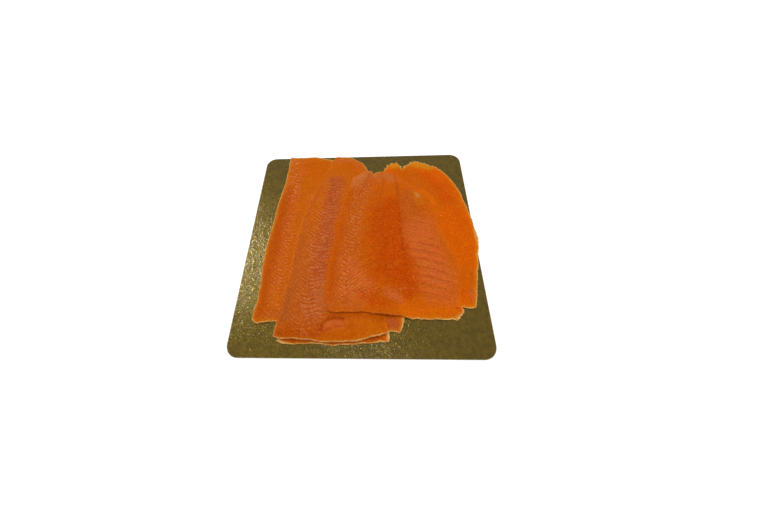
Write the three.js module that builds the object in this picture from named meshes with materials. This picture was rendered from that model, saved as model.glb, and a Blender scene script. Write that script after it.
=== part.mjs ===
// Smoked trout on a gold card: five thin slices of skinned fillet, laid one over the other like
// shingles on a square gold-laminated card with round corners.
//
// Millimetres, +Z up. The origin is the centre of the card's underside, +X points to the right
// and +Y to the far side, where the slices' narrow ends lie. Every slice is one closed sheet. It
// is draped over the card and over the slices under it, so that it sags where they end.

import * as THREE from 'three';

// ---- driving dimensions -------------------------------------------------------------------

const CARD_SIDE = 240;
const CARD_THICKNESS = 1.6;
const CARD_CORNER_RADIUS = 12;
const CARD_EDGE_ROUNDING = 0.3;
const CARD_CORNER_STEPS = 6;

const SLICE_THICKNESS = 2.6; // in the thick of a slice
const RIM_THICKNESS = 1.3; // along its outline
const BACK_TAPER = 5; // width of the thin band along the back, the slice's left edge
const BELLY_TAPER = 22; // the same along the belly, the right edge
const CUT_TAPER = 4.5; // the same along the straight cut nearest the viewer
const TAIL_TAPER = 8; // the same along the far end
const LINE_GROOVE_DEPTH = 0.35; // the groove over the lateral line
const LINE_GROOVE_WIDTH = 5;
const GAPE_DEPTH = 0.8; // step down into the flake where a seam of the flesh has opened
const GAPE_FADE = 7; // the flake is nearly level with the rest again after twice this

const LAYER_GAP = 0.35; // air between a slice and whatever it lies on
const RAGGED_AMPLITUDE = 0.6; // how far the torn outline strays from its smooth run

// Draping. A slice is bent by its own weight over the heights below it, which are kept on a
// square raster.
const RASTER_STEP = 1;
const RASTER_HALF = 132;
const DRAPE_PASSES = 260;
const STIFFNESS = 0.5; // share of the way to its neighbours' mean that a point moves in a pass
const WEIGHT = 0.12; // how far a point sinks in a pass
const CONTACT_ROUNDS = 3; // times that the contacts are cleared in a pass
const LAST_CONTACT_ROUNDS = 24; // and once more at the end, with a little to spare
const LAST_CONTACT_SPARE = 0.01;
const EDGE_CROWDING = 0.55; // how much closer the grid lines lie near the outline

// Each slice has four edges, named as seen by the viewer. They are smooth curves through a few
// points, and both `near` and `far` run from the left edge to the right edge, `left` and `right`
// from near to far. `line` is where the lateral line meets the near and the far edge, and `gape`
// is the arc of an open seam between two flakes.
const SLICES = [
  {
    name: 'slice_left',
    cells: [20, 24],
    near: [
      [-101, -86], [-98, -89], [-94, -89.5], [-78, -88], [-40, -91], [0, -95], [27, -97.5], [37.5, -98],
    ],
    far: [[-90.5, 120], [-78, 119], [-55, 119], [-44, 115.5], [-35, 113], [-14, 106]],
    left: [[-101, -86], [-99, -62], [-100.5, -22], [-99, 0], [-95.5, 46], [-91, 85], [-90.5, 120]],
    right: [
      [37.5, -98], [38, -95], [41, -92], [41.5, -85], [39, -60], [36, -20], [31, 20], [22, 55], [8, 84],
      [-14, 106],
    ],
    line: [-24, -46],
  },
  {
    name: 'slice_right',
    cells: [24, 22],
    near: [[48, -68], [70, -72], [94, -75], [108, -75.5]],
    far: [
      [26, 86], [27, 96], [32, 102], [36, 105.5], [42, 107], [46, 105], [49, 96], [52, 100.5], [56, 105.5],
      [64, 108.5], [71, 106.5], [80, 103.5], [90, 97.5], [99, 88], [106, 76],
    ],
    left: [[48, -68], [47, -30], [44, 0], [38, 40], [30, 72], [26, 86]],
    right: [
      [108, -75.5], [110.5, -65.5], [116, -37], [121.5, -11], [122.5, -2], [120, 21], [115, 48], [112, 62],
      [106, 76],
    ],
    line: [76, 49],
  },
  {
    name: 'slice_middle_lower',
    cells: [16, 16],
    near: [
      [-74, -105], [-70.5, -107.5], [-52, -108.5], [-39, -107.5], [-30, -109], [-16, -109], [0, -108],
      [27, -106],
    ],
    far: [[-44, 72], [-32, 80], [-14, 80], [-2, 68]],
    left: [[-74, -105], [-71, -92], [-66, -50], [-64, -10], [-58, 35], [-44, 72]],
    right: [[27, -106], [28, -102.5], [27, -98], [22, -70], [17, -20], [9, 30], [-2, 68]],
    line: [-10, -18],
  },
  {
    name: 'slice_middle_upper',
    cells: [26, 28],
    near: [
      [-78.5, -100.5], [-75.5, -103], [-67.5, -104], [-52, -104.5], [-25, -107], [-12, -106.5], [1, -105.5],
      [12, -102.5], [26, -99],
    ],
    far: [
      [-34, 115], [-31, 118], [-22.5, 118.5], [-14, 117], [-8.5, 114], [-2, 109.5], [1.5, 107], [5, 101],
      [7.5, 96],
    ],
    left: [
      [-78.5, -100.5], [-76.5, -89], [-73.5, -73], [-71, -43], [-69.5, -9], [-64, 29], [-60, 45.5],
      [-54, 64], [-47, 82], [-34, 115],
    ],
    right: [
      [26, -99], [26.5, -94], [25, -88.5], [24, -60], [27, -25], [27, 12], [23, 50], [15, 80], [7.5, 96],
    ],
    line: [-8, -20],
    gape: { centre: [-18, -101], radius: 16.3 },
  },
  {
    name: 'slice_top',
    cells: [30, 28],
    near: [
      [-28.5, -80.5], [-21, -81.5], [6, -81.5], [17.5, -82.5], [28, -83], [40, -83.5], [48.5, -85.5],
      [69, -86], [90, -86.5],
    ],
    far: [
      [-10.5, 75.5], [-9, 79.5], [-5, 83], [1, 89], [6.5, 93], [11, 93], [14, 90], [14, 87.5], [17.5, 91],
      [26, 92.5], [35, 90], [44.5, 84], [52, 76],
    ],
    left: [
      [-28.5, -80.5], [-31, -70], [-32, -50], [-30.5, -26], [-25.5, -3], [-25, 11.5], [-23, 25.5],
      [-15.5, 48.5], [-13, 62.5], [-10.5, 75.5],
    ],
    right: [
      [90, -86.5], [94, -82.5], [97.5, -78.5], [94.5, -74], [94, -70], [97, -59], [100, -35], [98, -23.5],
      [88.5, -2.5], [84, 14], [84, 29], [80, 42.5], [74.5, 54], [65, 64], [52, 76],
    ],
    line: [41, 40],
  },
];

// ---- materials ----------------------------------------------------------------------------

const goldCard = new THREE.MeshStandardMaterial({ color: 0x8d7534, roughness: 0.35, metalness: 0.9 });

function fleshMaterial(colour) {
  return new THREE.MeshStandardMaterial({ color: colour, roughness: 0.4, metalness: 0 });
}

const FLESH_COLOURS = {
  slice_left: 0xc7601d,
  slice_right: 0xd96008,
  slice_middle_lower: 0xb8480a,
  slice_middle_upper: 0xc05a20,
  slice_top: 0xcb5715,
};

// ---- small helpers ------------------------------------------------------------------------

function smoothStep(value, width) {
  const t = THREE.MathUtils.clamp(value / width, 0, 1);
  return t * t * (3 - 2 * t);
}

// A cheap repeatable wander: three sine waves of unrelated length, between about -1 and 1.
function wander(distance, seed) {
  return (
    0.5 * Math.sin(distance * 0.37 + seed * 1.7) +
    0.3 * Math.sin(distance * 0.83 + seed * 4.1) +
    0.2 * Math.sin(distance * 1.61 + seed * 2.3)
  );
}

// Shares from 0 to 1 that lie closer together near both ends.
function crowdedShares(count) {
  return Array.from({ length: count + 1 }, (_, i) => {
    const t = i / count;
    return t - (EDGE_CROWDING * Math.sin(2 * Math.PI * t)) / (2 * Math.PI);
  });
}

// The triangles of a grid of (nu + 1)(nv + 1) points that are counted along u first.
function gridTriangles(nu, nv) {
  const row = nu + 1;
  const triangles = [];
  for (let j = 0; j < nv; j++) {
    for (let i = 0; i < nu; i++) {
      const a = j * row + i;
      triangles.push([a, a + 1, a + row + 1], [a, a + row + 1, a + row]);
    }
  }
  return triangles;
}

// The points round such a grid's outline, counterclockwise.
function gridOutline(nu, nv) {
  const row = nu + 1;
  const outline = [];
  for (let i = 0; i < nu; i++) outline.push(i);
  for (let j = 0; j < nv; j++) outline.push(j * row + nu);
  for (let i = nu; i > 0; i--) outline.push(nv * row + i);
  for (let j = nv; j > 0; j--) outline.push(j * row);
  return outline;
}

// One closed mesh from a grid of top points and a grid of bottom points. Both faces are split
// into triangles alike, and a wall joins their outlines.
function sheetGeometry(top, bottom, nu, nv) {
  const under = top.length;
  const faces = [];
  for (const [a, b, c] of gridTriangles(nu, nv)) {
    faces.push(a, b, c, under + a, under + c, under + b);
  }
  const outline = gridOutline(nu, nv);
  outline.forEach((a, k) => {
    const b = outline[(k + 1) % outline.length];
    faces.push(a, under + a, b, b, under + a, under + b);
  });
  const positions = [...top, ...bottom].flatMap((p) => [p.x, p.y, p.z]);
  const geometry = new THREE.BufferGeometry();
  geometry.setAttribute('position', new THREE.Float32BufferAttribute(positions, 3));
  geometry.setIndex(faces);
  geometry.computeVertexNormals();
  return geometry;
}

// ---- the card -----------------------------------------------------------------------------

function roundedSquare(side, radius) {
  const h = side / 2;
  const shape = new THREE.Shape();
  shape.moveTo(-h + radius, -h);
  shape.lineTo(h - radius, -h);
  shape.absarc(h - radius, -h + radius, radius, -Math.PI / 2, 0);
  shape.lineTo(h, h - radius);
  shape.absarc(h - radius, h - radius, radius, 0, Math.PI / 2);
  shape.lineTo(-h + radius, h);
  shape.absarc(-h + radius, h - radius, radius, Math.PI / 2, Math.PI);
  shape.lineTo(-h, -h + radius);
  shape.absarc(-h + radius, -h + radius, radius, Math.PI, 1.5 * Math.PI);
  return shape;
}

function makeCard() {
  const inner = CARD_SIDE - 2 * CARD_EDGE_ROUNDING;
  const geometry = new THREE.ExtrudeGeometry(
    roundedSquare(inner, CARD_CORNER_RADIUS - CARD_EDGE_ROUNDING),
    {
      depth: CARD_THICKNESS - 2 * CARD_EDGE_ROUNDING,
      bevelEnabled: true,
      bevelThickness: CARD_EDGE_ROUNDING,
      bevelSize: CARD_EDGE_ROUNDING,
      bevelSegments: 1,
      curveSegments: CARD_CORNER_STEPS,
    },
  );
  const card = new THREE.Mesh(geometry, goldCard);
  card.name = 'gold_card';
  card.position.z = CARD_EDGE_ROUNDING;
  return card;
}

// ---- heights already laid -----------------------------------------------------------------

class Raster {
  constructor(level) {
    this.count = Math.round((2 * RASTER_HALF) / RASTER_STEP) + 1;
    this.heights = new Float64Array(this.count * this.count).fill(level);
  }

  // Calls visit(index, wa, wb, wc) for each raster point inside the triangle a, b, c.
  under(a, b, c, visit) {
    const area = (b.x - a.x) * (c.y - a.y) - (c.x - a.x) * (b.y - a.y);
    if (area === 0) return;
    const column = (x) => (x + RASTER_HALF) / RASTER_STEP;
    const [x0, x1] = [Math.min(a.x, b.x, c.x), Math.max(a.x, b.x, c.x)].map(column);
    const [y0, y1] = [Math.min(a.y, b.y, c.y), Math.max(a.y, b.y, c.y)].map(column);
    for (let j = Math.ceil(y0); j <= y1; j++) {
      for (let i = Math.ceil(x0); i <= x1; i++) {
        const x = i * RASTER_STEP - RASTER_HALF;
        const y = j * RASTER_STEP - RASTER_HALF;
        const wb = ((x - a.x) * (c.y - a.y) - (c.x - a.x) * (y - a.y)) / area;
        const wc = ((b.x - a.x) * (y - a.y) - (x - a.x) * (b.y - a.y)) / area;
        const wa = 1 - wb - wc;
        if (wa >= 0 && wb >= 0 && wc >= 0) visit(j * this.count + i, wa, wb, wc);
      }
    }
  }

  // The index of the raster point nearest to a place.
  nearest({ x, y }) {
    const [i, j] = [x, y].map((value) => Math.round((value + RASTER_HALF) / RASTER_STEP));
    return j * this.count + i;
  }

  // The heights with each point raised to its highest neighbour, so that a step between two
  // points is felt on both sides of it.
  raised() {
    const out = new Float64Array(this.heights.length);
    for (let j = 0; j < this.count; j++) {
      for (let i = 0; i < this.count; i++) {
        let best = -Infinity;
        for (let dj = -1; dj <= 1; dj++) {
          for (let di = -1; di <= 1; di++) {
            const jj = THREE.MathUtils.clamp(j + dj, 0, this.count - 1);
            const ii = THREE.MathUtils.clamp(i + di, 0, this.count - 1);
            best = Math.max(best, this.heights[jj * this.count + ii]);
          }
        }
        out[j * this.count + i] = best;
      }
    }
    return out;
  }
}

// ---- a slice ------------------------------------------------------------------------------

function edgeCurve(points) {
  const flat = points.map(([x, y]) => new THREE.Vector3(x, y, 0));
  return new THREE.CatmullRomCurve3(flat, false, 'centripetal');
}

// A point of the patch that the four edge curves span, by Coons' blend. u runs across the slice
// and v along it.
function patchPoint(edges, u, v) {
  const { near, far, left, right } = edges;
  const corners = [near.getPointAt(0), near.getPointAt(1), far.getPointAt(0), far.getPointAt(1)];
  const point = new THREE.Vector3();
  point.addScaledVector(near.getPointAt(u), 1 - v).addScaledVector(far.getPointAt(u), v);
  point.addScaledVector(left.getPointAt(v), 1 - u).addScaledVector(right.getPointAt(v), u);
  const shares = [(1 - u) * (1 - v), u * (1 - v), (1 - u) * v, u * v];
  corners.forEach((corner, k) => point.addScaledVector(corner, -shares[k]));
  return point;
}

// The plan of a slice: its grid of points, with a torn outline, and how far in each point lies.
function slicePlan(slice, seed) {
  const [nu, nv] = slice.cells;
  const edges = {
    near: edgeCurve(slice.near),
    far: edgeCurve(slice.far),
    left: edgeCurve(slice.left),
    right: edgeCurve(slice.right),
  };
  const points = [];
  for (const v of crowdedShares(nv)) {
    for (const u of crowdedShares(nu)) {
      const point = patchPoint(edges, u, v);
      const width = edges.left.getPointAt(v).distanceTo(edges.right.getPointAt(v));
      const length = edges.near.getPointAt(u).distanceTo(edges.far.getPointAt(u));
      const onSide = u === 0 || u === 1;
      const onEnd = v === 0 || v === 1;
      if (onEnd && !onSide) point.y += RAGGED_AMPLITUDE * wander(u * width, seed);
      if (onSide && !onEnd) point.x += RAGGED_AMPLITUDE * wander(v * length, seed);
      const inFrom = { left: u * width, right: (1 - u) * width, near: v * length, far: (1 - v) * length };
      const lineX = THREE.MathUtils.lerp(slice.line[0], slice.line[1], v);
      points.push({ point, inFrom, fromLine: point.x - lineX });
    }
  }
  return points;
}

function gapeDepth(gape, point) {
  if (!gape) return 0;
  const inside = gape.radius - Math.hypot(point.x - gape.centre[0], point.y - gape.centre[1]);
  return inside > 0 ? GAPE_DEPTH * Math.exp(-inside / GAPE_FADE) : 0;
}

function thicknessAt(slice, { point, inFrom, fromLine }) {
  const fullness =
    smoothStep(inFrom.left, BACK_TAPER) *
    smoothStep(inFrom.right, BELLY_TAPER) *
    smoothStep(inFrom.near, CUT_TAPER) *
    smoothStep(inFrom.far, TAIL_TAPER);
  const groove = LINE_GROOVE_DEPTH * Math.exp(-((fromLine / LINE_GROOVE_WIDTH) ** 2));
  const relief = groove + gapeDepth(slice.gape, point);
  return RIM_THICKNESS + (SLICE_THICKNESS - RIM_THICKNESS - relief) * fullness;
}

// Lets the underside of a slice down on what is laid already, and returns its heights.
function drape(plan, nu, nv, raster) {
  const floor = raster.raised();
  const row = nu + 1;
  const resting = CARD_THICKNESS + LAYER_GAP;
  const contacts = [];
  const addContact = (ids, weights, index) => {
    const lowest = floor[index] + LAYER_GAP;
    if (lowest > resting) contacts.push({ ids, weights, lowest });
  };
  plan.forEach(({ point }, k) => addContact([k], [1], raster.nearest(point)));
  for (const [a, b, c] of gridTriangles(nu, nv)) {
    raster.under(plan[a].point, plan[b].point, plan[c].point, (index, wa, wb, wc) => {
      addContact([a, b, c], [wa, wb, wc], index);
    });
  }
  let heights = new Float64Array(plan.length).fill(Math.max(...floor) + LAYER_GAP);
  const neighbours = plan.map((_, k) => {
    const [i, j] = [k % row, Math.floor(k / row)]; // the outline bends along its own run only
    const found = [];
    if (i > 0 && i < nu) found.push(k - 1, k + 1);
    if (j > 0 && j < nv) found.push(k - row, k + row);
    return found;
  });
  for (let pass = 0; pass < DRAPE_PASSES; pass++) {
    heights = heights.map((z, k) => {
      const around = neighbours[k];
      const mean = around.length ? around.reduce((sum, n) => sum + heights[n], 0) / around.length : z;
      return Math.max(resting, z + STIFFNESS * (mean - z) - WEIGHT);
    });
    for (let round = 0; round < CONTACT_ROUNDS; round++) {
      pressUp(heights, contacts, 0);
    }
  }
  for (let round = 0; round < LAST_CONTACT_ROUNDS; round++) {
    pressUp(heights, contacts, LAST_CONTACT_SPARE);
  }
  return heights;
}

// Raises the corners of each triangle that a raster point would pierce, just far enough.
function pressUp(heights, contacts, spare) {
  for (const { ids, weights, lowest } of contacts) {
    let z = 0;
    let square = 0;
    for (let k = 0; k < ids.length; k++) {
      z += heights[ids[k]] * weights[k];
      square += weights[k] * weights[k];
    }
    const lack = lowest + spare - z;
    if (lack <= 0) continue;
    for (let k = 0; k < ids.length; k++) heights[ids[k]] += (lack * weights[k]) / square;
  }
}

function makeSlice(slice, seed, raster) {
  const [nu, nv] = slice.cells;
  const plan = slicePlan(slice, seed);
  const heights = drape(plan, nu, nv, raster);
  const bottom = plan.map(({ point }, k) => new THREE.Vector3(point.x, point.y, heights[k]));
  const top = plan.map((place, k) => {
    const z = heights[k] + thicknessAt(slice, place);
    return new THREE.Vector3(place.point.x, place.point.y, z);
  });
  for (const [a, b, c] of gridTriangles(nu, nv)) {
    raster.under(top[a], top[b], top[c], (index, wa, wb, wc) => {
      const z = wa * top[a].z + wb * top[b].z + wc * top[c].z;
      raster.heights[index] = Math.max(raster.heights[index], z);
    });
  }
  const mesh = new THREE.Mesh(sheetGeometry(top, bottom, nu, nv), fleshMaterial(FLESH_COLOURS[slice.name]));
  mesh.name = slice.name;
  return mesh;
}

// ---- assembly -----------------------------------------------------------------------------

const platter = new THREE.Group();
platter.add(makeCard());

const laid = new Raster(CARD_THICKNESS);
SLICES.forEach((slice, index) => platter.add(makeSlice(slice, index + 1, laid)));

export default platter;
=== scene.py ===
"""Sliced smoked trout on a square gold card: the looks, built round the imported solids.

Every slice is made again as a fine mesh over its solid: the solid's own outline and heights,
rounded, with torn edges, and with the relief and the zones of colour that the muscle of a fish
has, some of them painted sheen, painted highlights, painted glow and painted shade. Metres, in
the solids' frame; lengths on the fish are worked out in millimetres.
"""

import math

import bmesh
import bpy
import numpy as np
from mathutils import Matrix, Vector, noise
from mathutils.bvhtree import BVHTree
from mathutils.geometry import delaunay_2d_cdt


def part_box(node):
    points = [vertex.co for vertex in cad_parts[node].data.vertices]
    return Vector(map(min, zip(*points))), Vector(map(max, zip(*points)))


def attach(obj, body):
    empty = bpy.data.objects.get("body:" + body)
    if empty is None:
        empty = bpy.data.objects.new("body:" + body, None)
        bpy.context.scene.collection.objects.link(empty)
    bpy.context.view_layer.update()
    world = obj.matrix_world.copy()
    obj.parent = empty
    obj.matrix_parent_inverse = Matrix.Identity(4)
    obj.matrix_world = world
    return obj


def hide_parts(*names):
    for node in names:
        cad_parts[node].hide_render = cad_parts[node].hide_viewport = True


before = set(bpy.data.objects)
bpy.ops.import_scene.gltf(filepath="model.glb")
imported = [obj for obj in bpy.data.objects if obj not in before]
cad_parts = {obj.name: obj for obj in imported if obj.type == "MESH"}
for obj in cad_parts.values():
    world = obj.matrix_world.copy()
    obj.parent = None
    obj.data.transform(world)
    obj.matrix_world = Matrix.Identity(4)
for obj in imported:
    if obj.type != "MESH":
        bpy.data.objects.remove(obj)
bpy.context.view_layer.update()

MM = 0.001
CARD = "gold_card"
CARD_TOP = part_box(CARD)[1].z / MM

# The photograph's camera: where it stands over the card, in metres, and how it is turned.
CAMERA_AT = Vector((0.0146, -0.1464, 0.2531))
CAMERA_RIGHT = Vector((0.99894, 0.01262, -0.04437))
CAMERA_UP = Vector((0.00847, 0.89532, 0.44534))
FOCAL_PIXELS = 272.88
PICTURE = (769, 513)
OPTICAL_CENTRE = (362, 257)  # pixels, in the photograph
SENSOR_MM = 36

# ---- the meshes -----------------------------------------------------------------------------

OUTLINE_STEP = 0.5  # mm between the points of a fine outline
OUTLINE_BLUR = 1.1  # mm, rounds off the facets of the solid's outline
POINT_STEP = 0.8  # mm between the points on top of a slice
HIDDEN_STEP = 3.0  # mm, the same on an underside
RASTER_STEP = 1.0  # mm between the heights read off a solid
HEIGHT_BLUR = 1.7  # mm, rounds off the facets of its faces
TOUCH = 0.05  # mm of air under a rim
WELD = 0.002  # mm, corners of a solid nearer than this are one corner
UPRIGHT = 0.01  # the rim's own faces have normals with a vertical part below this
RIM_RINGS = (0.16, 0.55)  # mm in from a slice's outline, rings of points that round its rim
RING_CLEAR = 0.8  # of its own depth, how near a ring's point may come to the outline
GRID_CLEAR = 0.45  # of a step, how near the inner points may come to the last ring
LIFT_BLUR = 1.5  # mm, smooths how far a slice is lifted off what it lies on
THINNEST = 1.2  # mm, the least thickness of a slice away from its rim
CARD_HALF = 120  # mm, half the side of the card
CARD_CORNER = 12  # mm, radius of its corners
CORNER_STEPS = 24
CARD_EDGE = (0.36, 0.28)  # mm, width and drop of its rounded edge
CARD_RINGS = (0.35,)  # mm in from its outline
CARD_UNDER_STEP = 12.0  # mm between the points of its underside
FACET = 1.2  # mm, size of the facets of the foil
FACET_RELIEF = 0.12  # mm, how far apart in height their corners lie
TEAR_SIZE, TEAR_DEPTH = 2.6, 1.3  # mm, largest waves of a torn edge; share of a slice's `torn`
FRAY_SIZE = 1.8  # mm, the same where it's frayed
DAYLIGHT = (0.68, 0.76, 1.0)  # of the lamps that glint in the foil
WORLD_LIGHT = 0.35
FLOOR_HALF = 12.0  # m


# ---- what the flesh looks like, in millimetres on the card ----------------------------------

# Colours as they look in soft white light, in bytes. The mauve, pink, blush, dusky and olive
# ones are flesh tones with painted sheen, a reflection of soft light, mixed into them; the speck
# colour is a painted highlight; the rim colour is pale fat with a painted highlight; the line
# colour is that of the flakes' joints and the lateral line, and serves as painted shadow too.
COLOURS = {
    "orange": (196, 86, 4),
    "vivid": (213, 88, 0),
    "deep": (187, 64, 0),
    "bright": (220, 100, 3),
    "cream": (238, 200, 128),
    "red": (204, 72, 2),
    "rust": (180, 74, 3),
    "amber": (193, 91, 5),
    "yellow": (208, 130, 18),
    "pink": (203, 95, 43),
    "dusky": (181, 84, 27),
    "mauve": (172, 76, 38),
    "olive": (166, 80, 22),
    "blush": (189, 105, 48),
    "rim": (240, 196, 116),
    "line": (160, 56, 2),
    "ochre": (213, 118, 8),
    "brown": (158, 58, 4),
    "highlight_speck": (232, 152, 92),
}
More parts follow.
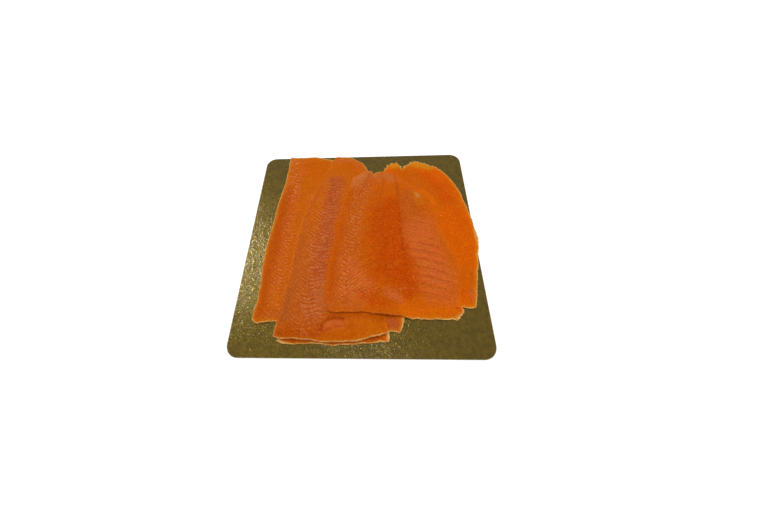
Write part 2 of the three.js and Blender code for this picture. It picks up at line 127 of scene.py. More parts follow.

# For each slice: `line` is the lateral line and `peak` the line along which the zigzag of the
# muscle turns, each as x at two places, near and far; `rise` is how far the zigzag climbs from
# its peak to the lateral line and how soon. `front` is how pale a front rim over another slice
# is, pale fat with a painted highlight on its edge, and `glow` how much painted glow, as of light
# through the thin flesh, yellows the flesh along a free rim. `paint` lays colours over the base
# one by one, each in a soft band: (colour, half width, strength, the path of its middle), and
# then "right" where it stops at the lateral line. `flakes` says where the edges of the flakes
# show, `fine` where the finer lines between them do, and the film where a pale film lies, partly
# the flesh's own and partly painted sheen with painted highlight specks, each as (half width,
# strength, path). `creases` are (depth, half width, path), with painted shadow in their grooves,
# and `frays` (mm, half width, path).
SLICES = {
    "slice_left": {
        "seed": 1, "torn": 0.35, "base": "amber", "phase": 0.0,
        "rise": (5, 25), "front": 0.0, "glow": 0.55,
        "line": ((-24, -88), (-46, 118)), "peak": ((-78, -88), (-72, 118)),
        "paint": [
            ("rust", 8, 1.0, [(-98, -92), (-94, -40), (-88, 20), (-86, 62)]),
            ("dusky", 8, 0.7, [(-84, -84), (-70, -86)]),
            ("pink", 5, 0.3, [(-84, -60), (-80, 0), (-76, 60), (-72, 110)]),
            ("orange", 9, 0.7, [(-64, 108), (-50, 90)]),
            ("mauve", 7, 0.8, [(28, -92), (34, -93)]),
            ("cream", 1.6, 0.9, [(-100, -93), (-98, -98), (-93, -99)]),
            ("cream", 1.8, 0.8, [(41, -97), (41, -86)]),
        ],
        "flakes": [(9, 0.3, [(-84, -85), (-80, 0), (-74, 60), (-71, 112)])],
        "fine": [(9, 1.0, [(-84, -85), (-80, 0), (-80, 60), (-84, 112)]),
                 (18, 0.6, [(-66, -85), (-60, 0), (-56, 50)])],
        "sheen_film": [(7, 0.8, [(-82, -85), (-78, 0), (-80, 60)]),
                 (8, 1.5, [(-80, 60), (-82, 85), (-84, 112)]),
                 (12, 0.75, [(-62, -70), (-56, 20), (-54, 60)])],
        "creases": [],
        "frays": [
            (1.0, 6, [(-99, -90), (-97, -97), (-90, -98)]),
            (0.5, 10, [(-98, -60), (-99, -85)]),
            (0.8, 6, [(30, -99), (41, -97), (42, -86)]),
        ],
    },
    "slice_right": {
        "seed": 2, "torn": 0.4, "base": "vivid", "phase": 0.0,
        "rise": (6, 25), "front": 0.0, "glow": 0.65,
        "line": ((76, -75), (49, 100)), "peak": ((50, -75), (30, 100)),
        "paint": [
            ("orange", 14, 1.0, [(50, 88), (75, 70), (90, 50)]),
            ("yellow", 6, 1.0, [(38, 102), (58, 107), (80, 99)]),
            ("bright", 6, 0.9, [(68, 58), (78, 44)]),
            ("red", 6, 0.8, [(76, 83), (90, 66), (95, 50)]),
            ("deep", 5, 0.25, [(98, 70), (102, 44), (108, 14)]),
            ("orange", 9, 0.7, [(108, -40), (112, -72)]),
            ("pink", 4, 0.5, [(106, -60), (112, -72)]),
            ("cream", 1.8, 0.7, [(121, 8), (122, -10)]),
        ],
        "flakes": [],
        "fine": [(12, 0.3, [(60, 80), (86, 40), (104, -20)])],
        "sheen_film": [(8, 0.25, [(60, 80), (70, 55)])],
        "creases": [],
        "frays": [
            (2.6, 12, [(36, 104), (60, 108), (84, 98)]),
            (0.5, 8, [(121, 0), (116, -40), (118, -74)]),
        ],
    },
    "slice_middle_lower": {
        "seed": 3, "torn": 0.3, "base": "rust", "phase": 0.0,
        "rise": (5, 25), "front": 0.5, "glow": 0.3,
        "line": ((-10, -108), (-18, 80)), "peak": ((-52, -108), (-38, 80)),
        "paint": [
            # painted shadow on the strip that shows in front of the slice above
            ("line", 5, 1.0, [(-70, -104), (-30, -106), (14, -102)]),
            ("cream", 2, 0.7, [(-73, -106), (-66, -109)]),
            ("cream", 2, 0.7, [(27, -104), (27, -96)]),
        ],
        "flakes": [],
        "fine": [],
        "sheen_film": [],
        "creases": [],
        "frays": [(0.7, 6, [(-74, -108), (-66, -110)]), (0.8, 5, [(20, -108), (27, -98)])],
    },
    "slice_middle_upper": {
        "seed": 4, "torn": 0.3, "base": "amber", "phase": 0.0,
        "rise": (5, 25), "front": 0.8, "glow": 0.25,
        "line": ((-8, -107), (-20, 115)), "peak": ((-52, -105), (-28, 115)),
        "paint": [
            ("dusky", 16, 0.9, [(-58, -85), (-54, -40), (-50, -10)]),
            ("mauve", 9, 1.0, [(-40, -94), (-39, -50), (-36, 0), (-31, 45), (-28, 72)]),
            ("blush", 6, 0.35, [(-38, -50), (-38, -86)]),
            # painted light along this slice's sunk left side, against the shade of its slope
            ("amber", 4, 0.6, [(-73, -40), (-68, 0), (-59, 48)]),
            ("olive", 8, 0.8, [(-70, -62), (-68, -86)]),
            ("orange", 7, 0.9, [(-14, 112), (-6, 90), (-8, 60)]),
            ("rust", 12, 0.8, [(-70, -100), (-40, -101), (-16, -98)]),
            ("line", 5, 0.5, [(-72, -101), (-40, -102)]),
            # painted shadow just in front of the top slice's front edge
            ("line", 3, 0.5, [(-30, -84), (0, -84), (22, -86)]),
            ("pink", 5, 0.8, [(-28, -92), (-15, -91)]),
            ("amber", 5, 0.5, [(-28, -100), (-12, -99)]),
            ("cream", 1.5, 0.8, [(-79, -100), (-77, -106), (-72, -107)]),
        ],
        "flakes": [],
        "fine": [(18, 0.8, [(-50, -92), (-44, 0), (-34, 70)]),
                 (8, 0.6, [(-72, -88), (-67, 0), (-57, 50)])],
        "sheen_film": [(14, 0.9, [(-46, -90), (-42, 0), (-32, 60)]),
                 (8, 0.6, [(-71, -88), (-66, 0), (-56, 50)])],
        # a gaping seam: grooves and lips; the grooves get painted shadow
        "creases": [
            (1.1, 2.0, [
                (-34, -97), (-33, -92), (-29, -88.5), (-26, -87), (-19.5, -86.2), (-14, -87.5),
            ]),
            (-0.5, 2.2, [(-29, -93), (-24, -90.5), (-17, -90)]),
            (0.5, 1.4, [(-35, -101), (-28, -96.5), (-20, -94), (-12, -93)]),
            (-0.3, 2.0, [(-33, -103), (-26, -99), (-16, -96.5)]),
        ],
        "frays": [(1.2, 6, [(-79, -97), (-75, -106)]), (0.8, 6, [(20, -100), (27, -90)])],
    },
    "slice_top": {
        "seed": 5, "torn": 0.35, "base": "orange", "phase": 0.56,
        "rise": (26, 22), "front": 0.05, "glow": 0.5,
        "line": ((47, -84), (39.5, 88)), "peak": ((-14, -81), (6, 88)),
        "paint": [
            ("rust", 6, 0.8, [(-29, -80), (-26, -20), (-18, 30), (-8, 70)]),
            ("dusky", 9, 0.6, [(-14, -62), (-10, -20), (-5, 30), (4, 66)]),
            ("pink", 9, 0.6, [(-12, -38), (6, -54)]),
            ("pink", 7, 0.6, [(-14, -60), (4, -68)]),
            ("deep", 15, 1.0, [(25, -36), (27, 0), (27, 28)]),
            ("deep", 10, 1.0, [(39, -48), (38, 0), (35, 42)]),
            ("deep", 7, 0.7, [(4, -66), (20, -72)]),
            ("dusky", 12, 0.7, [(53, 50), (56, 14)], "right"),
            ("pink", 17, 0.85, [(62, 4), (66, -20), (76, -50)], "right"),
            ("deep", 6, 0.7, [(50, -30), (52, -58)], "right"),
            ("blush", 9, 0.9, [(-6, 72), (4, 82)]),
            ("blush", 8, 0.5, [(16, 84), (34, 80)]),
            ("yellow", 5, 0.25, [(62, 56), (66, 44)]),
            ("cream", 1.8, 0.25, [(62, 56), (64, 52)]),
            ("pink", 5, 0.8, [(28, -62), (38, -68)]),
            ("deep", 5, 1.0, [(46, -64), (45.5, -45), (44.5, -14)]),
            ("line", 2.0, 0.3, [(46, -64), (45.5, -45), (44.5, -14)]),
            ("line", 1.6, 0.4, [(44, -14), (41, 60), (39.5, 86)]),
            ("line", 1.4, 0.3, [(27, 82), (24, 60), (20, 40)]),
            ("bright", 7, 0.75, [(44, -78), (92, -76)]),
            ("dusky", 6, 0.5, [(-24, -74), (-2, -76)]),
            ("pink", 6, 0.4, [(66, -68), (86, -69)]),
            ("cream", 2.2, 0.9, [(91, -85), (97, -81), (98, -74)]),
        ],
        "flakes": [(8, 0.3, [(4, -40), (10, 0), (16, 50)]),
                   (20, 0.3, [(60, 30), (62, 0)]),
                   (18, 0.85, [(66, -16), (72, -54)])],
        "fine": [(11, 1.0, [(-15, -66), (-10, 0), (2, 66)]),
                 (9, 0.8, [(-4, -50), (6, -60), (36, -62)]),
                 (10, 0.9, [(4, -50), (10, 0), (16, 50)]),
                 (14, 0.8, [(54, 50), (58, 10)]),
                 (16, 0.5, [(62, 0), (72, -54)]),
                 (10, 0.6, [(58, -70), (86, -72)]),
                 (16, 0.45, [(24, 50), (25, 0), (22, -40)])],
        "sheen_film": [(9, 1.0, [(-12, -62), (-8, 0), (4, 66)]),
                 (18, 0.25, [(62, 12), (66, -20), (76, -48)]),
                 (10, 0.5, [(20, 78), (36, 76)]),
                 (8, 0.8, [(-4, -50), (6, -60)]), (6, 0.8, [(32, -62), (40, -60)]),
                 (8, 0.45, [(-22, -73), (-2, -76)]), (14, 0.15, [(24, 40), (25, -30)])],
        "creases": [(0.3, 1.8, [(13, -68), (20, -62), (30, -60), (42, -60)]),
                    (0.2, 1.4, [(25, -70), (35, -72)]),
                    (0.5, 2.5, [(10, 84), (4, 66), (-2, 50)])],
        "frays": [(0.9, 6, [(88, -84), (98, -76)]), (0.5, 10, [(20, 92), (-10, 86)])],
    },
}
FLAKE_STEP = 9.2  # mm between the edges of the flakes
FINE_STEP = 3.9  # mm, the same for the finer lines
FLAKE_EDGE = 0.1  # half width of a flake's edge, as a share of the step
FLAKE_DEPTH = 0.15  # mm
FLAKE_FADE, LINE_FADE = (1.0, 5.0), (2, 8)  # mm in from a rim, where flakes and groove set in
FLAKE_UNEVEN = (0.5, 7)  # share by which they show more or less, in waves of mm
LEFT_SLOPE = 1.0  # the zigzag's slope left of its peak
PEAK_ROUNDING = 9  # mm
RIGHT_SLOPE = (0.08, 0.0045)  # its slope right of the line, and how that grows with every mm
PHASE_WOBBLE = (0.9, 12)  # mm, how far the lines stray along the fish, and in what waves
LINE_WIDTH, LINE_DEPTH = 2.0, 0.08  # mm, the groove of the lateral line
CREASE_SHARPNESS = 0.6  # of a crease's half width
GRAIN, GRAIN_SIZE = 0.04, 2.2  # mm, height and size of the fine grain of the flesh
RELIEF_FADE = 2  # mm in from a rim, where all of the relief is there
RIM_ROUND = 0.55  # mm, rounding of a rim that is seen
RIM_LOOK = 2.5  # mm out from a rim, where it's read off what the rim lies over
RIM_LOOK_UP = 0.4  # mm, and lower than this above the card, it's the card
FRONT_FACING = (0.2, 0.7)  # how much of a rim's outward way is to the front, from not to wholly so
KINDS_BLUR = 4  # points, smooths where a rim goes from one kind to another
SUNK_RIM = 12  # mm, over which a slice's side sinks into the slice under it
SUNK_GAP = 5 * TOUCH  # mm from what a slice lies on to the top of its sunk rim

STROKE_FADE = (0.2, 1.65)  # half widths from its middle, where a stroke of paint fades
LINE_STOP = (-1.0, 2.0)  # mm right of the lateral line, where "right" paint sets in
STROKE_WANDER = (0.3, 22)  # how much its edge wanders, as a share, and in waves of how many mm
WHITE_SHARE = 0.815  # albedo of flesh that looks as bright as COLOURS in this light
# the darkened flakes' edges are dark joints; the creases are darkened as painted shadow
EDGE_DARK, CREASE_SHADOW, DARKEST = 0.5, 0.95, 0.95  # shares of the colour "line"
CLOUDS, CLOUD_SIZE = 0.07, 9  # soft changes of brightness, and their size in mm
# the flakes' steps and a sunk rim are brighter as painted light: up each step, and on a sunk rim
# against the shade of its slope
GRAIN_SHADE, STEP_SHADE = 0.06, 0.24  # how much brighter the grain and the flakes' steps are
SUNK_SHADE, SUNK_EDGE_SHADE = 0.1, 0.07  # the same for a sunk rim, and for its very edge
MOTTLE, MOTTLE_SIZE = 0.22, 3.2  # share of "yellow" in the mottles, and their size in mm
# painted glow along a free rim, as of light through the thin flesh
GLOW_WIDTH, GLOW_WANDER = (0.5, 5.0), (1.5, 6)  # mm in from a free rim; mm, in waves of mm
MARKS_FADE = {"sheen_film": (0.5, 3), "fine": (1.0, 3)}  # mm in from a rim, where they set in
# a rim's pale edge is pale fat with a painted highlight
RIM_PALE = (0.4, 0.9)  # mm in from a rim, where its pale edge ends
RIM_WANDER, RIM_PATCH = (0.5, 5), 9  # mm, in waves of mm; mm, size of its paler patches
RIM_PATCHY = (-0.5, 0.4)  # height of the noise where a patch begins, and where it's full
RIM_SHARE = (0.45, 0.5)  # share of "rim" everywhere along it, and more of it in the patches

# The marks that the shaders add. Scales are of noise, for each metre.
WARP, WARP_SCALE = 4.5, 130.0  # mm, how far the fine lines and the fibres stray along the fish
FIBRE_WIDTH, FIBRE_LENGTH = 0.9, 1.9  # mm
# the blotches and specks of the film are painted sheen and painted highlights
SPOT_SCALE, PATCH_SCALE, SHEEN_BLOTCH_SCALE = 620.0, 150.0, 330.0
LINE_SHARE, OCHRE_SHARE, BROWN_SHARE, SHEEN_BLOTCH_SHARE, HIGHLIGHT_SPECK_SHARE = 0.82, 0.33, 0.45, 0.35, 0.56
FIBRE_RELIEF, SPOT_RELIEF = 0.8, 0.6  # shares of the bump's height
FLESH_BUMP = 0.0003  # m
FOIL_COLOURS = ((0.25, 0.162, 0.008, 1), (0.35, 0.217, 0.012, 1))
FOIL_GRAIN_SCALE, FOIL_STAIN_SCALE, FOIL_STREAK_SCALE = 700.0, 260.0, 620.0
FOIL_BUMP = 0.00006  # m
FOIL_ROUGH, FOIL_SMOOTHER = 0.3, 0.17  # roughness, and how much less of it in the streaks
FOIL_STREAK_TURN = (0, 0, 0.35)
FOIL_STREAK_STRETCH = (1.3, 0.6, 1)
BOARD_COLOURS = ((0.46, 0.42, 0.30, 1), (0.62, 0.58, 0.46, 1))
PULP_SCALE = 700.0


def welded(node):
    shape = bmesh.new()
    shape.from_mesh(node.data)
    bmesh.ops.remove_doubles(shape, verts=shape.verts, dist=WELD * MM)
    shape.normal_update()
    return shape


def rim_loop(shape):
    """The upper edge of a solid's rim, in mm, as an ordered loop, counterclockwise from above."""
    following = {}
    for face in shape.faces:
        if abs(face.normal.z) > UPRIGHT:
            continue
        for corner in face.loops:
            a, b, c = corner.vert, corner.link_loop_next.vert, corner.link_loop_prev.vert
            on_edge = abs(corner.link_loop_radial_next.face.normal.z) > UPRIGHT
            if on_edge and 2 * c.co.z < a.co.z + b.co.z:
                following[b] = a
    loop = [next(iter(following))]
    while following[loop[-1]] is not loop[0] and len(loop) < len(following):
        loop.append(following[loop[-1]])
    return np.array([tuple(corner.co.xy / MM) for corner in loop])


def resample(loop, step):
    closed = np.vstack([loop, loop[:1]])
    run = np.concatenate([[0], np.cumsum(np.linalg.norm(np.diff(closed, axis=0), axis=1))])
    count = int(run[-1] / step)
    at = np.arange(count) * run[-1] / count
    return np.column_stack([np.interp(at, run, closed[:, k]) for k in (0, 1)])


def blur_loop(loop, sigma_points):
    reach = int(3 * sigma_points) + 1
    shifts = np.arange(-reach, reach + 1)
    weights = np.exp(-0.5 * (shifts / sigma_points) ** 2)
    weights /= weights.sum()
    return sum(w * np.roll(loop, -s, axis=0) for s, w in zip(shifts, weights))


def fractal(points, size, seed, octaves=3):
    """Repeatable noise of about -1 to 1 at each point; size is the length of its largest waves."""
    out = np.zeros(len(points))
    for octave in range(octaves):
        scale = 2 ** octave / size
        offset = Vector((seed * 17.3, seed * 5.1, octave * 9.7))
        values = [noise.noise(Vector((x * scale, y * scale, 0)) + offset) for x, y in points]
        out += np.array(values) / 2 ** octave
    return out


def outward_along(loop):
    """The unit vectors that point out of a counterclockwise loop, at each of its points."""
    along = np.roll(loop, -1, axis=0) - np.roll(loop, 1, axis=0)
    outward = np.column_stack([along[:, 1], -along[:, 0]])
    return outward / np.linalg.norm(outward, axis=1)[:, None]


def torn_outline(loop, amount, frays, seed):
    """The outline of a solid, rounded, and then torn and frayed."""
    fine = blur_loop(resample(loop, OUTLINE_STEP), OUTLINE_BLUR / OUTLINE_STEP)
    stray = fractal(fine, TEAR_SIZE, seed) * amount * TEAR_DEPTH
    for k, (size, width, path) in enumerate(frays):
        stray += fractal(fine, FRAY_SIZE, seed + 50 + k) * stroke(fine, width, size, path, seed)
    return fine + outward_along(fine) * stray[:, None]


def inside(points, loop):
    x, y = points[:, 0], points[:, 1]
    crossed = np.zeros(len(points), bool)
    for (ax, ay), (bx, by) in zip(loop, np.roll(loop, -1, axis=0)):
        if ay == by:
            continue
        spans = (ay > y) != (by > y)
        crossed ^= spans & (x < ax + (y - ay) * (bx - ax) / (by - ay))
    return crossed


def nearest_on(points, loop, block=2000):
    """For each point the nearest point of a loop, as its number, and how far away it is."""
    number = np.empty(len(points), int)
    for k in range(0, len(points), block):
        gap = points[k:k + block, None, :] - loop[None, :, :]
        number[k:k + block] = (gap ** 2).sum(axis=2).argmin(axis=1)
    return number, np.linalg.norm(points - loop[number], axis=1)


def hexagonal(low, high, step):
    rows = np.arange(low[1], high[1], step * math.sqrt(3) / 2)
    parts = []
    for k, y in enumerate(rows):
        x = np.arange(low[0] + (k % 2) * step / 2, high[0], step)
        parts.append(np.column_stack([x, np.full(len(x), y)]))
    return np.vstack(parts)


def fill(loop, step, rings):
    """Points that fill a loop, and the triangles over them. The loop's own points come first."""
    points = [loop]
    for depth in rings:
        ring = loop - outward_along(loop) * depth
        ring = ring[inside(ring, loop)]
        points.append(ring[nearest_on(ring, loop)[1] > RING_CLEAR * depth])
    grid = hexagonal(loop.min(0), loop.max(0), step)
    grid = grid[inside(grid, loop)]
    margin = max(rings, default=0) + GRID_CLEAR * step
    points.append(grid[nearest_on(grid, loop)[1] > margin])
    every = np.vstack(points)
    border = [(k, (k + 1) % len(loop)) for k in range(len(loop))]
    made = delaunay_2d_cdt([Vector(p) for p in every], border, [], 1, 1e-7)
    return np.array([tuple(v) for v in made[0]]), [tuple(f) for f in made[2]]


class Heights:
    """Heights on a square raster over a box, in millimetres."""

    def __init__(self, low, high, step, level=np.nan):
        self.low, self.step = np.array(low, float), step
        self.shape = tuple(int(math.ceil((h - l) / step)) + 1 for l, h in zip(low, high))
        self.z = np.full(self.shape, float(level))

    def places(self):
        i, j = np.indices(self.shape)
        return np.column_stack([i.ravel(), j.ravel()]) * self.step + self.low

    def at(self, points):
        place = (points - self.low) / self.step
        last = np.array(self.shape) - 1.001
        place = np.clip(place, 0, last)
        cell = place.astype(int)
        fx, fy = (place - cell).T
        i, j = cell.T
        low = self.z[i, j] * (1 - fx) + self.z[i + 1, j] * fx
        high = self.z[i, j + 1] * (1 - fx) + self.z[i + 1, j + 1] * fx
        return low * (1 - fy) + high * fy

    def like(self, z):
        """Other heights on the same raster."""
        other = Heights(self.low, self.low, self.step)
        other.shape, other.z = self.shape, z
        return other

    def raise_to(self, points, heights):
        """Lifts the raster to at least these heights, at the places round each point."""
        cell = np.rint((points - self.low) / self.step).astype(int)
        for i in (-1, 0, 1):
            for j in (-1, 0, 1):
                np.maximum.at(self.z, (cell[:, 0] + i, cell[:, 1] + j), heights)

    def blur(self, sigma):
        """Rounds the heights off, and carries them on a little way past where there are any."""
        reach = int(3 * sigma / self.step) + 1
        shifts = np.arange(-reach, reach + 1)
        weights = np.exp(-0.5 * (shifts * self.step / sigma) ** 2)
        known = ~np.isnan(self.z)
        total, share = np.where(known, self.z, 0.0), known.astype(float)
        for axis in (0, 1):
            pad = [(reach, reach) if a == axis else (0, 0) for a in (0, 1)]
            total, share = (
                sum(w * np.take(np.pad(values, pad), range(k, k + self.shape[axis]), axis=axis)
                    for k, w in enumerate(weights))
                for values in (total, share)
            )
        self.z = np.where(share > 1e-9, total / np.maximum(share, 1e-9), np.nan)


def solid_heights(shape, margin=6):
    """The upper and lower face of a solid as two rounded rasters."""
    tree = BVHTree.FromBMesh(shape)
    corners = np.array([tuple(corner.co.xy / MM) for corner in shape.verts])
    faces = []
    for start, way in ((1.0, -1.0), (-1.0, 1.0)):
        raster = Heights(corners.min(0) - margin, corners.max(0) + margin, RASTER_STEP)
        found = []
        for x, y in raster.places():
            hit = tree.ray_cast(Vector((x * MM, y * MM, start)), Vector((0, 0, way)))[0]
            found.append(hit.z / MM if hit else np.nan)
        raster.z = np.array(found).reshape(raster.shape)
        raster.blur(HEIGHT_BLUR)
        faces.append(raster)
    return faces


def ramp(values, low, high):
    t = np.clip((values - low) / (high - low), 0, 1)
    return t * t * (3 - 2 * t)


def distance_to_path(points, path):
    path = np.array(path, float)
    nearest = np.full(len(points), np.inf)
    for a, b in zip(path, path[1:]):
        along = b - a
        t = np.clip(((points - a) @ along) / (along @ along), 0, 1)
        gap = points - a - t[:, None] * along
        nearest = np.minimum(nearest, np.sqrt((gap ** 2).sum(1)))
    return nearest


def stroke(points, width, strength, path, seed):
    """How much of a soft band of paint lies at each point."""
    share, size = STROKE_WANDER
    wander = 1 + share * fractal(points, size, seed, octaves=2)
    away = distance_to_path(points, path) * wander
    full, none = STROKE_FADE
    return strength * (1 - ramp(away, full * width, none * width))


def strokes(points, bands, seed):
    out = np.zeros(len(points))
    for k, (width, strength, path) in enumerate(bands):
        out = np.maximum(out, stroke(points, width, strength, path, seed + 31 * k))
    return out


def across(points, ends):
    """Millimetres to the right of a line that is given as x at two places."""
    (x0, y0), (x1, y1) = ends
    return points[:, 0] - (x0 + (points[:, 1] - y0) * (x1 - x0) / (y1 - y0))


def flake_phase(points, look):
    """Counts the flakes along the fish; the edge of each flake is at a whole number and a half."""
    from_peak = across(points, look["peak"])
    from_line = across(points, look["line"])
    span = from_peak - from_line
    height, reach = look["rise"]
    rise = height * (1 - np.exp(-np.clip(from_peak, 0, span) / reach))
    left = np.maximum(-from_peak, 0)
    climb = LEFT_SLOPE * (np.sqrt(left ** 2 + PEAK_ROUNDING ** 2) - PEAK_ROUNDING)
    right = np.maximum(from_line, 0)
    fall = right * (RIGHT_SLOPE[0] + RIGHT_SLOPE[1] * right)
    stray, size = PHASE_WOBBLE
    wobble = stray * fractal(points, size, look["seed"] + 90, octaves=2)
    return (points[:, 1] - climb - rise + fall + wobble) / FLAKE_STEP + look["phase"]


def linear(colour):
    c = np.array(colour) / 255
    return np.where(c <= 0.04045, c / 12.92, ((c + 0.055) / 1.055) ** 2.4)


def relief(points, depth, look):
    """The relief of a slice's upper side in mm, and what the finish needs to know of it."""
    phase = flake_phase(points, look)
    part = phase - np.floor(phase)
    edge = np.exp(-0.5 * ((part - 0.5) / FLAKE_EDGE) ** 2)
    shown = strokes(points, look["flakes"], look["seed"]) * ramp(depth, *FLAKE_FADE)
    uneven, size = FLAKE_UNEVEN
    shown *= 1 + uneven * fractal(points, size, look["seed"] + 30, octaves=2)
    line = np.exp(-0.5 * (across(points, look["line"]) / LINE_WIDTH) ** 2)
    line *= ramp(depth, *LINE_FADE)
    grain = fractal(points, GRAIN_SIZE, look["seed"] + 40, octaves=3)
    step = (1 - (part - 0.5) % 1) * shown
    height = 0.5 * step * FLAKE_DEPTH - edge * shown * FLAKE_DEPTH - line * LINE_DEPTH
    height += GRAIN * grain
    crease = np.zeros(len(points))
    for size, width, path in look["creases"]:
        sharp = CREASE_SHARPNESS * width
        groove = np.exp(-0.5 * (distance_to_path(points, path) / sharp) ** 2)
        height -= size * groove
        crease += size * groove
    return height, {
        "edge": edge * shown, "step": step, "shown": shown, "crease": np.clip(crease, 0, 1),
        "phase": phase, "grain": grain,
    }


def toward(colour, name, share):
    """Mixes a named colour into a colour for each point, by a share for each point."""
    return colour + (linear(COLOURS[name]) - colour) * share[:, None]


def tint(points, depth, look, marks, rim_shows):
    """The colour of each point on top of a slice: its zones, some with painted sheen, its marks,
    painted shade in its creases and painted light on its steps and sunk rims, and its pale rim
    with a painted glow and a painted highlight.
    """
    seed = look["seed"]
    colour = np.tile(linear(COLOURS[look["base"]]), (len(points), 1))
    beyond = ramp(across(points, look["line"]), *LINE_STOP)
    for k, (name, width, strength, path, *side) in enumerate(look["paint"]):
        share = stroke(points, width, strength, path, seed + 7 * k)
        colour = toward(colour, name, share * beyond if side else share)

    # dark joints along the flakes' edges, and painted shadow in the creases
    dark = np.clip(EDGE_DARK * marks["edge"] + CREASE_SHADOW * marks["crease"], 0, DARKEST)
    colour = toward(colour, "line", dark)
    # clouds and grain of brightness; painted light up each flake's step, and on a sunk rim against
    # the shade of its slope
    shade = 1 + CLOUDS * fractal(points, CLOUD_SIZE, seed + 60) + GRAIN_SHADE * marks["grain"]
    shade += STEP_SHADE * (marks["step"] - 0.5 * marks["shown"])
    shade += SUNK_SHADE * marks["sunk"] + SUNK_EDGE_SHADE * marks["sunk"] ** 8
    colour *= shade[:, None]
    mottled = np.clip(fractal(points, MOTTLE_SIZE, seed + 80), 0, 1)
    colour = toward(colour, "yellow", MOTTLE * mottled)

    # painted glow along a free rim, as of light through the thin flesh
    wander, size = GLOW_WANDER
    start, end = GLOW_WIDTH
    glow = 1 - ramp(depth, start, end + wander * fractal(points, size, seed + 75))
    colour = toward(colour, "yellow", look["glow"] * rim_shows * glow)

    # the pale rim: pale fat with a painted highlight along its edge
    wander, size = RIM_WANDER
    start, end = RIM_PALE
    pale_highlight = 1 - ramp(depth, start, end + wander * fractal(points, size, seed + 70))
    patchy = ramp(fractal(points, RIM_PATCH, seed + 85), *RIM_PATCHY)
    least, more = RIM_SHARE
    colour = toward(colour, "rim", pale_highlight * rim_shows * (least + more * patchy))
    return colour * WHITE_SHARE


def rim_kinds(outline, laid):
    """Along an outline: 1 where the rim is over the card, and 1 where it also faces the front."""
    outward = outward_along(outline)
    over_card = (laid.at(outline + RIM_LOOK * outward) < CARD_TOP + RIM_LOOK_UP).astype(float)
    facing = ramp(-outward[:, 1], *FRONT_FACING)
    kinds = np.column_stack([over_card, np.maximum(over_card, facing)])
    return blur_loop(kinds, KINDS_BLUR).T


def point_attribute(mesh, name, kind, values):
    field = "color" if kind == "FLOAT_COLOR" else "value"
    flat = np.ascontiguousarray(values, np.float32).ravel()
    mesh.attributes.new(name, kind, "POINT").data.foreach_set(field, flat)


def closed_sheet(name, top, top_z, top_faces, under, under_z, under_faces, rim):
    """A mesh with an upper side, an underside and walls between their first `rim` points."""
    count = len(top)
    walls = [(k, count + k, count + (k + 1) % rim, (k + 1) % rim) for k in range(rim)]
    faces = top_faces + [tuple(count + v for v in reversed(f)) for f in under_faces] + walls
    points = np.vstack([np.column_stack([top, top_z]), np.column_stack([under, under_z])])
    mesh = bpy.data.meshes.new(name)
    mesh.from_pydata((points * MM).tolist(), [], faces)
    return mesh


def lay_on(upper, lower, laid):
    """Lifts a slice clear of what it lies on, its upper side with its underside."""
    floor = laid.at(lower.places()).reshape(lower.shape) + TOUCH
    lift = lower.like(np.maximum(floor - lower.z, 0))
    lift.blur(LIFT_BLUR)
    lower.z = np.fmax(lower.z, floor)
    upper.z = upper.z + lift.z


def sunk_share(depth, full):
    """How deep a point lies in the side of a slice that sinks into the slice under it, 0 to 1."""
    return (1 - full) * (1 - ramp(depth, 0, SUNK_RIM))


def build_slice(name, look, laid):
    shape = welded(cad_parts[name])
    outline = torn_outline(rim_loop(shape), look["torn"], look["frays"], look["seed"])
    upper, lower = solid_heights(shape)
    shape.free()
    open_rim, full_rim = rim_kinds(outline, laid)
    # how pale each rim is: pale fat with a painted highlight
    pale_rim = np.maximum(open_rim, look["front"] * full_rim)
    lay_on(upper, lower, laid)

    top, top_faces = fill(outline, POINT_STEP, RIM_RINGS)
    nearest, depth = nearest_on(top, outline)
    full = full_rim[nearest]
    heights, marks = relief(top, depth, look)
    marks["sunk"] = sunk_share(depth, full)
    round_off = RIM_ROUND * (1 - np.sqrt(1 - (1 - np.clip(depth / RIM_ROUND, 0, 1)) ** 2))
    thickness = np.maximum(upper.at(top) - lower.at(top), THINNEST)
    top_z = lower.at(top) + thickness + heights * ramp(depth, 0, RELIEF_FADE) - round_off
    top_z += (np.minimum(top_z, laid.at(top) + SUNK_GAP) - top_z) * marks["sunk"]

    rim = len(outline)
    under, under_faces = fill(outline, HIDDEN_STEP, ())
    nearest_under, depth_under = nearest_on(under, outline)
    sunk_under = sunk_share(depth_under, full_rim[nearest_under])
    under_z = lower.at(under)
    under_z += (laid.at(under) + TOUCH - under_z) * sunk_under
    under_z[:rim] = np.minimum(laid.at(outline) + TOUCH, under_z[:rim])

    mesh = closed_sheet(name + "_flesh", top, top_z, top_faces, under, under_z, under_faces, rim)
    mesh.validate()
    mesh.polygons.foreach_set("use_smooth", [True] * len(mesh.polygons))

    # the walls' lower ring takes the pale rim and its painted highlight too
    under_colour = np.tile(linear(COLOURS["vivid"]), (len(under), 1))
    under_colour[:rim] = toward(under_colour[:rim], "rim", pale_rim)
    top_colour = tint(top, depth, look, marks, pale_rim[nearest])
    colour = np.vstack([top_colour, under_colour * WHITE_SHARE])
    point_attribute(mesh, "tint", "FLOAT_COLOR", np.column_stack([colour, np.ones(len(colour))]))
    for kind, fade in MARKS_FADE.items():
        away_from_rim = np.maximum(ramp(depth, *fade), 1 - full)
        marks[kind] = strokes(top, look[kind], look["seed"] + 5) * away_from_rim
    marks["along"] = marks["phase"] * FLAKE_STEP
    marks["across"] = across(top, look["line"])
    zero = np.zeros(len(under))
    for kind in ("sheen_film", "fine", "along", "across"):
        point_attribute(mesh, kind, "FLOAT", np.concatenate([marks[kind], zero]))

    laid.raise_to(top, top_z)
    return mesh


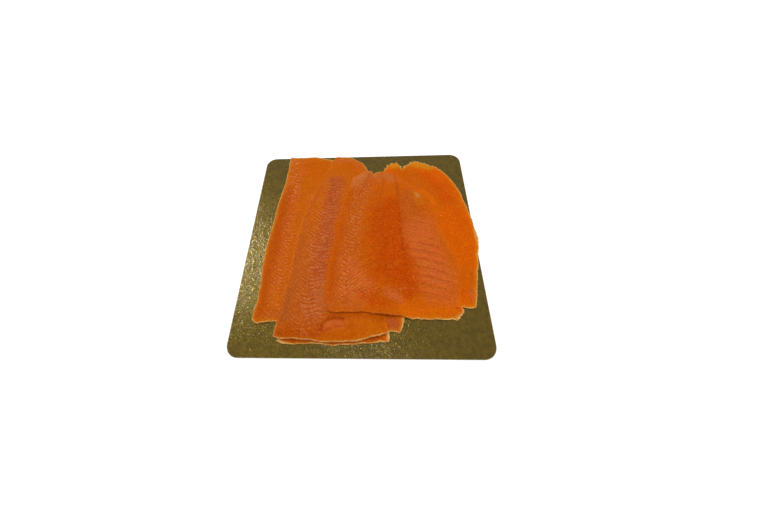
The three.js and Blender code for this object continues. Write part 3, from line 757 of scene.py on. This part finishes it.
class Nodes:
    """Short ways to add the nodes of a material."""

    def __init__(self, name):
        self.material = bpy.data.materials.new(name)
        self.material.use_nodes = True
        self.tree = self.material.node_tree
        self.shader = self.tree.nodes["Principled BSDF"]

    def add(self, kind, **settings):
        node = self.tree.nodes.new(kind)
        for name, value in settings.items():
            setattr(node, name, value)
        return node

    def feed(self, socket, value):
        if isinstance(value, bpy.types.NodeSocket):
            self.tree.links.new(value, socket)
        else:
            socket.default_value = value

    def math(self, operation, a, b=0.0):
        node = self.add("ShaderNodeMath", operation=operation)
        self.feed(node.inputs[0], a)
        self.feed(node.inputs[1], b)
        return node.outputs[0]

    def times(self, a, b):
        return self.math("MULTIPLY", a, b)

    def value(self, name):
        return self.add("ShaderNodeAttribute", attribute_name=name).outputs["Fac"]

    def vector(self, x, y, z=0.0):
        node = self.add("ShaderNodeCombineXYZ")
        for socket, value in zip(node.inputs, (x, y, z)):
            self.feed(socket, value)
        return node.outputs[0]

    def noise(self, place, scale, detail=2.0):
        node = self.add("ShaderNodeTexNoise")
        for name, value in (("Vector", place), ("Scale", scale), ("Detail", detail)):
            self.feed(node.inputs[name], value)
        return node.outputs["Fac"]

    def ramp(self, value, low, high):
        node = self.add("ShaderNodeMapRange", interpolation_type="SMOOTHSTEP")
        for name, v in (("Value", value), ("From Min", low), ("From Max", high)):
            self.feed(node.inputs[name], v)
        return node.outputs["Result"]

    def mix(self, share, a, b):
        node = self.add("ShaderNodeMix", data_type="RGBA")
        for name, v in (("Factor", share), ("A", a), ("B", b)):
            self.feed(node.inputs[name], v)
        return node.outputs["Result"]

    def bump(self, height, distance, coat=False):
        node = self.add("ShaderNodeBump")
        for name, v in (("Height", height), ("Distance", distance), ("Strength", 1.0)):
            self.feed(node.inputs[name], v)
        self.feed(self.shader.inputs["Normal"], node.outputs["Normal"])
        if coat:
            self.feed(self.shader.inputs["Coat Normal"], node.outputs["Normal"])


def flesh_colour(name):
    return (*(linear(COLOURS[name]) * WHITE_SHARE), 1)


def flesh_material():
    n = Nodes("trout_flesh")
    place = n.add("ShaderNodeTexCoord").outputs["Object"]
    tint = n.add("ShaderNodeAttribute", attribute_name="tint").outputs["Color"]
    sheen_film, fine = n.value("sheen_film"), n.value("fine")

    # fibres, and the painted highlight dashes, lie along the edges of the flakes
    along = n.math("ADD", n.value("along"), n.times(n.noise(place, WARP_SCALE, 1.0), WARP))
    over = n.math("DIVIDE", n.value("across"), FIBRE_LENGTH)
    fibres = n.noise(n.vector(n.math("DIVIDE", along, FIBRE_WIDTH), over), 1.0, 3.0)
    spots = n.noise(place, SPOT_SCALE, 2.0)
    patches = n.ramp(n.noise(place, PATCH_SCALE, 2.0), 0.42, 0.58)

    # the dark finer lines, broken up by the fibres
    count = n.math("DIVIDE", along, FINE_STEP)
    off_line = n.math("ABSOLUTE", n.math("SUBTRACT", n.math("FRACT", count), 0.5))
    lines = n.times(n.ramp(off_line, 0.28, 0.02), n.ramp(fibres, 0.3, 0.55))
    dark = n.times(n.times(lines, fine), n.times(patches, LINE_SHARE))
    colour = n.mix(dark, tint, (*linear(COLOURS["line"]), 1))

    ochre = n.times(n.ramp(spots, 0.46, 0.66), OCHRE_SHARE)
    colour = n.mix(ochre, colour, flesh_colour("ochre"))
    brown = n.times(n.ramp(fibres, 0.52, 0.34), BROWN_SHARE)
    colour = n.mix(brown, colour, flesh_colour("brown"))

    # the pale film with painted sheen: painted highlight dashes between the lines, and blotches of
    # painted sheen
    highlight_dashes = n.times(n.ramp(fibres, 0.46, 0.62), n.ramp(off_line, 0.15, 0.4))
    sheen_blotches = n.times(n.ramp(n.noise(place, SHEEN_BLOTCH_SCALE, 1.0), 0.56, 0.72), SHEEN_BLOTCH_SHARE)
    pale_highlight = n.math("MAXIMUM", n.times(highlight_dashes, patches), sheen_blotches)
    colour = n.mix(n.times(n.times(pale_highlight, sheen_film), HIGHLIGHT_SPECK_SHARE), colour, flesh_colour("highlight_speck"))
    n.feed(n.shader.inputs["Base Color"], colour)

    height = n.math("ADD", n.times(fibres, FIBRE_RELIEF), n.times(spots, SPOT_RELIEF))
    n.bump(n.math("SUBTRACT", height, dark), FLESH_BUMP)
    for name, value in (
        ("Roughness", 0.28), ("Specular IOR Level", 0.04), ("Subsurface Weight", 0.12),
        ("Subsurface Radius", (1.0, 0.35, 0.1)), ("Subsurface Scale", 0.002),
    ):
        n.feed(n.shader.inputs[name], value)
    return n.material


def foil_material():
    n = Nodes("gold_foil")
    place = n.add("ShaderNodeTexCoord").outputs["Object"]
    stain = n.ramp(n.noise(place, FOIL_STAIN_SCALE, 5.0), 0.36, 0.64)
    n.feed(n.shader.inputs["Base Color"], n.mix(stain, *FOIL_COLOURS))
    n.bump(n.noise(place, FOIL_GRAIN_SCALE, 0.0), FOIL_BUMP, coat=True)

    # small smooth streaks glint, the rest only shines
    streaks = n.add("ShaderNodeMapping")
    n.feed(streaks.inputs["Vector"], place)
    n.feed(streaks.inputs["Rotation"], FOIL_STREAK_TURN)
    n.feed(streaks.inputs["Scale"], FOIL_STREAK_STRETCH)
    smooth = n.ramp(n.noise(streaks.outputs[0], FOIL_STREAK_SCALE, 1.0), 0.56, 0.64)
    rough = n.math("SUBTRACT", FOIL_ROUGH, n.times(smooth, FOIL_SMOOTHER))
    for name, value in (
        ("Metallic", 1.0), ("Roughness", rough), ("Coat Weight", 1.0), ("Coat Roughness", 0.1),
    ):
        n.feed(n.shader.inputs[name], value)
    return n.material


def board_material():
    n = Nodes("card_core")
    place = n.add("ShaderNodeTexCoord").outputs["Object"]
    pulp = n.noise(place, PULP_SCALE, 3.0)
    n.feed(n.shader.inputs["Base Color"], n.mix(pulp, *BOARD_COLOURS))
    n.feed(n.shader.inputs["Roughness"], 0.8)
    return n.material


def build_card():
    """The card with its hammered foil: small facets, each tilted a little, that glint singly."""
    outline = []
    inner = CARD_HALF - CARD_CORNER
    for quarter in range(4):
        turn = math.pi / 2 * quarter
        diagonal = turn + math.pi / 4
        middle = np.array([math.cos(diagonal), math.sin(diagonal)]) * inner * math.sqrt(2)
        for k in range(CORNER_STEPS + 1):
            angle = turn + math.pi / 2 * k / CORNER_STEPS
            outline.append(middle + CARD_CORNER * np.array([math.cos(angle), math.sin(angle)]))
    outline = resample(np.array(outline), FACET)
    top, top_faces = fill(outline, FACET, CARD_RINGS)
    under, under_faces = fill(outline, CARD_UNDER_STEP, ())
    depth = nearest_on(top, outline)[1]
    width, drop = CARD_EDGE
    rng = np.random.default_rng(11)
    sunk = FACET_RELIEF * rng.uniform(0, 1, len(top))
    top_z = CARD_TOP - sunk * ramp(depth, 0, 1) - drop * (1 - ramp(depth, 0, width))
    mesh = closed_sheet(
        "foil_card", top, top_z, top_faces, under, np.zeros(len(under)), under_faces, len(outline)
    )
    mesh.materials.append(foil_material())
    mesh.materials.append(board_material())
    of_board = [0] * len(top_faces) + [1] * (len(under_faces) + len(outline))
    mesh.polygons.foreach_set("material_index", of_board)
    show(mesh, CARD)


def show(mesh, node):
    piece = bpy.data.objects.new(mesh.name, mesh)
    bpy.context.scene.collection.objects.link(piece)
    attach(piece, "root")
    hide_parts(node)


def soft_light(name, at, size, power, in_reflections, length=None, along=(0, 0, 1), colour=None):
    """A lamp that faces the card; its length lies as near as it can to the way of `along`."""
    light = bpy.data.lights.new(name, "AREA")
    light.shape, light.size, light.size_y, light.energy = "RECTANGLE", size, length or size, power
    light.color = colour or (1, 1, 1)
    lamp = bpy.data.objects.new(name, light)
    back = Vector(at).normalized()
    side = Vector(along).cross(back).normalized()
    turn = Matrix((side, back.cross(side), back)).transposed().to_4x4()
    lamp.matrix_world = Matrix.Translation(at) @ turn
    lamp.visible_glossy = in_reflections
    bpy.context.scene.collection.objects.link(lamp)


def set_up_picture():
    scene = bpy.context.scene
    camera = bpy.data.cameras.new("camera")
    camera.sensor_width = SENSOR_MM
    camera.lens = SENSOR_MM * FOCAL_PIXELS / PICTURE[0]
    camera.shift_x = (PICTURE[0] / 2 - OPTICAL_CENTRE[0]) / PICTURE[0]
    camera.shift_y = (OPTICAL_CENTRE[1] - PICTURE[1] / 2) / PICTURE[0]
    camera.clip_start = 0.01
    viewer = bpy.data.objects.new("camera", camera)
    back = CAMERA_RIGHT.cross(CAMERA_UP)
    turn = Matrix((CAMERA_RIGHT, CAMERA_UP, back)).transposed().to_4x4()
    viewer.matrix_world = Matrix.Translation(CAMERA_AT) @ turn
    scene.collection.objects.link(viewer)
    scene.camera = viewer
    scene.view_settings.view_transform = "Standard"

    world = bpy.data.worlds.new("world")
    world.use_nodes = True
    background = world.node_tree.nodes["Background"]
    background.inputs["Color"].default_value = (1, 1, 1, 1)
    background.inputs["Strength"].default_value = WORLD_LIGHT
    scene.world = world

    # soft lamps that the foil doesn't mirror, and two thin ones that glint in it
    soft_light("over", (0.1, 0.55, 1.9), 1.6, 30, False)
    soft_light("front", (0.0, -1.7, 0.9), 1.0, 5, False)
    soft_light("left", (-1.6, -0.2, 1.2), 1.2, 8, False)
    soft_light("right", (1.5, -0.5, 1.2), 1.2, 8, False)
    soft_light("window", (-0.80, 0.56, 1.2), 0.02, 1.2, True, 0.5, (0.1, 0.52, -0.2), DAYLIGHT)
    soft_light("lamp", (-0.05, 0.08, 1.5), 0.015, 0.25, True, 0.3, (1, 0, 0), DAYLIGHT)


def floor_sheet():
    mesh = bpy.data.meshes.new("floor")
    half = FLOOR_HALF
    corners = [(-half, -half, 0), (half, -half, 0), (half, half, 0), (-half, half, 0)]
    mesh.from_pydata(corners, [], [(0, 1, 2, 3)])
    floor = bpy.data.objects.new("floor", mesh)
    bpy.context.scene.collection.objects.link(floor)
    paper = bpy.data.materials.new("floor")
    paper.use_nodes = True
    shader = paper.node_tree.nodes["Principled BSDF"]
    shader.inputs["Base Color"].default_value = (0.95, 0.95, 0.95, 1)
    shader.inputs["Roughness"].default_value = 0.9
    shader.inputs["Specular IOR Level"].default_value = 0.0
    mesh.materials.append(paper)


def build_all():
    laid = Heights((-140, -140), (140, 140), RASTER_STEP, level=CARD_TOP)
    flesh = flesh_material()
    for name, look in SLICES.items():
        mesh = build_slice(name, look, laid)
        mesh.materials.append(flesh)
        show(mesh, name)
    build_card()


build_all()
floor_sheet()
set_up_picture()
